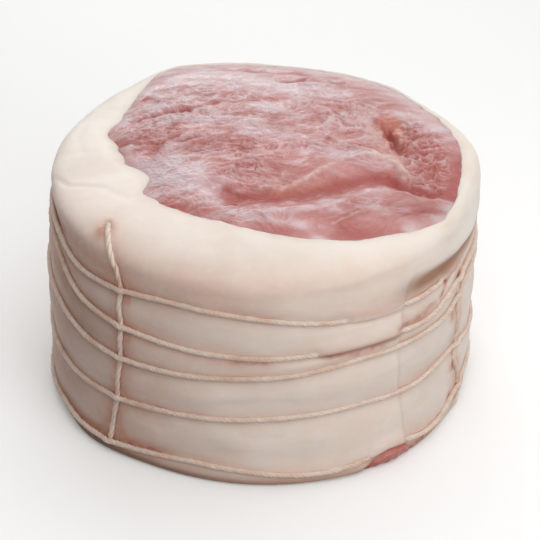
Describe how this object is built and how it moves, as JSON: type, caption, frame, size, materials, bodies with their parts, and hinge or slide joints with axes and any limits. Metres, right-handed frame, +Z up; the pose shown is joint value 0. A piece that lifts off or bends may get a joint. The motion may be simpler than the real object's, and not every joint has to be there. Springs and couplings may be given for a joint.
{
  "type": "veal medallion",
  "caption": "Short thick round of raw veal wrapped in a sheet of white fat and tied with rings and upright lengths of twine; stands flat on its underside.",
  "frame": {"origin": "centre of the underside, at the middle of the outline seen from above", "axes": "+Z up through the cut face, -Y towards the front seen in the picture, +X to that view's right"},
  "size_m": [0.0895, 0.0936, 0.0528],
  "materials": {
    "meat": "raw veal, moist",
    "fat": "soft white fat, moist",
    "twine": "twisted cotton, damp"
  },
  "bodies": {
    "root": {"veal": "meat", "fat_wrap": "fat", "twine_ring_1": "twine", "twine_ring_2": "twine", "twine_ring_3": "twine", "twine_ring_4": "twine", "twine_ring_5": "twine", "twine_upright_left": "twine", "twine_upright_right": "twine", "twine_upright_back": "twine"}
  },
  "joints": []
}
